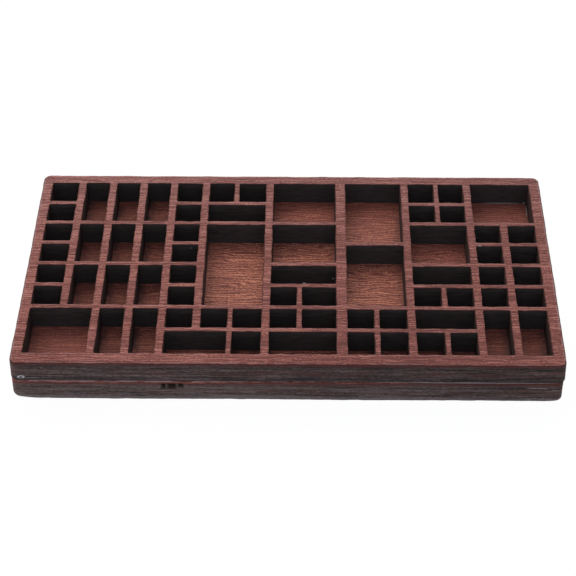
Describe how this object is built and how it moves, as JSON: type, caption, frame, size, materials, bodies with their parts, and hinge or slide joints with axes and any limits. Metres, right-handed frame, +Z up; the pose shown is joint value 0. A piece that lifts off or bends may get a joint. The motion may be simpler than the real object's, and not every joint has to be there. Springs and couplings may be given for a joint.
{
  "type": "specimen display case",
  "caption": "Shallow rectangular wooden specimen display case: open compartments of many sizes, walled by rails, dividers and rungs on a solid base board.",
  "frame": {"origin": "middle of the underside of the base board", "axes": "+X along the long side, to the right as seen from the front; -Y to the front; +Z up, out of the open compartments"},
  "size_m": [0.18, 0.1, 0.016],
  "materials": {
    "lattice_ply": "red-brown stain on plywood face veneer, laser-charred dark cut edges, matt",
    "base_ply": "red-brown stain on plywood face veneer with curly figure, charred dark edges, matt"
  },
  "bodies": {
    "root": {"back_rail": "lattice_ply", "base_board": "base_ply", "bay_1_rung_1": "lattice_ply", "bay_1_rung_2": "lattice_ply", "bay_1_rung_3": "lattice_ply", "bay_1_rung_4": "lattice_ply", "bay_1_rung_5": "lattice_ply", "bay_1_rung_6": "lattice_ply", "bay_1_rung_7": "lattice_ply", "bay_1_rung_8_tee": "lattice_ply", "bay_2_rung_1": "lattice_ply", "bay_2_rung_2": "lattice_ply", "bay_2_rung_3": "lattice_ply", "bay_3_rung_1": "lattice_ply", "bay_3_rung_2": "lattice_ply", "bay_3_rung_3": "lattice_ply", "bay_4_rung_1": "lattice_ply", "bay_4_rung_10_comb": "lattice_ply", "bay_4_rung_2_tee": "lattice_ply", "bay_4_rung_3": "lattice_ply", "bay_4_rung_4": "lattice_ply", "bay_4_rung_5": "lattice_ply", "bay_4_rung_6": "lattice_ply", "bay_4_rung_7": "lattice_ply", "bay_4_rung_8": "lattice_ply", "bay_4_rung_9": "lattice_ply", "bay_5_rung_1": "lattice_ply", "bay_5_rung_2": "lattice_ply", "bay_5_rung_3": "lattice_ply", "bay_5_rung_4_cross": "lattice_ply", "bay_5_rung_5": "lattice_ply", "bay_6_rung_1": "lattice_ply", "bay_6_rung_2": "lattice_ply", "bay_6_rung_3_cross": "lattice_ply", "bay_7_rung_1_cross": "lattice_ply", "bay_7_rung_2": "lattice_ply", "bay_7_rung_3": "lattice_ply", "bay_7_rung_4": "lattice_ply", "bay_7_rung_5_tee": "lattice_ply", "bay_7_rung_6_tee": "lattice_ply", "bay_8_rung_1_tee": "lattice_ply", "bay_8_rung_2": "lattice_ply", "bay_8_rung_3": "lattice_ply", "bay_8_rung_4": "lattice_ply", "bay_8_rung_5": "lattice_ply", "bay_8_rung_6": "lattice_ply", "bay_8_rung_7": "lattice_ply", "bay_8_rung_8": "lattice_ply", "bay_8_rung_9": "lattice_ply", "divider_1": "lattice_ply", "divider_2": "lattice_ply", "divider_3": "lattice_ply", "divider_4": "lattice_ply", "divider_5": "lattice_ply", "divider_6": "lattice_ply", "divider_7": "lattice_ply", "front_rail": "lattice_ply", "left_rail": "lattice_ply", "right_rail": "lattice_ply"}
  },
  "joints": []
}
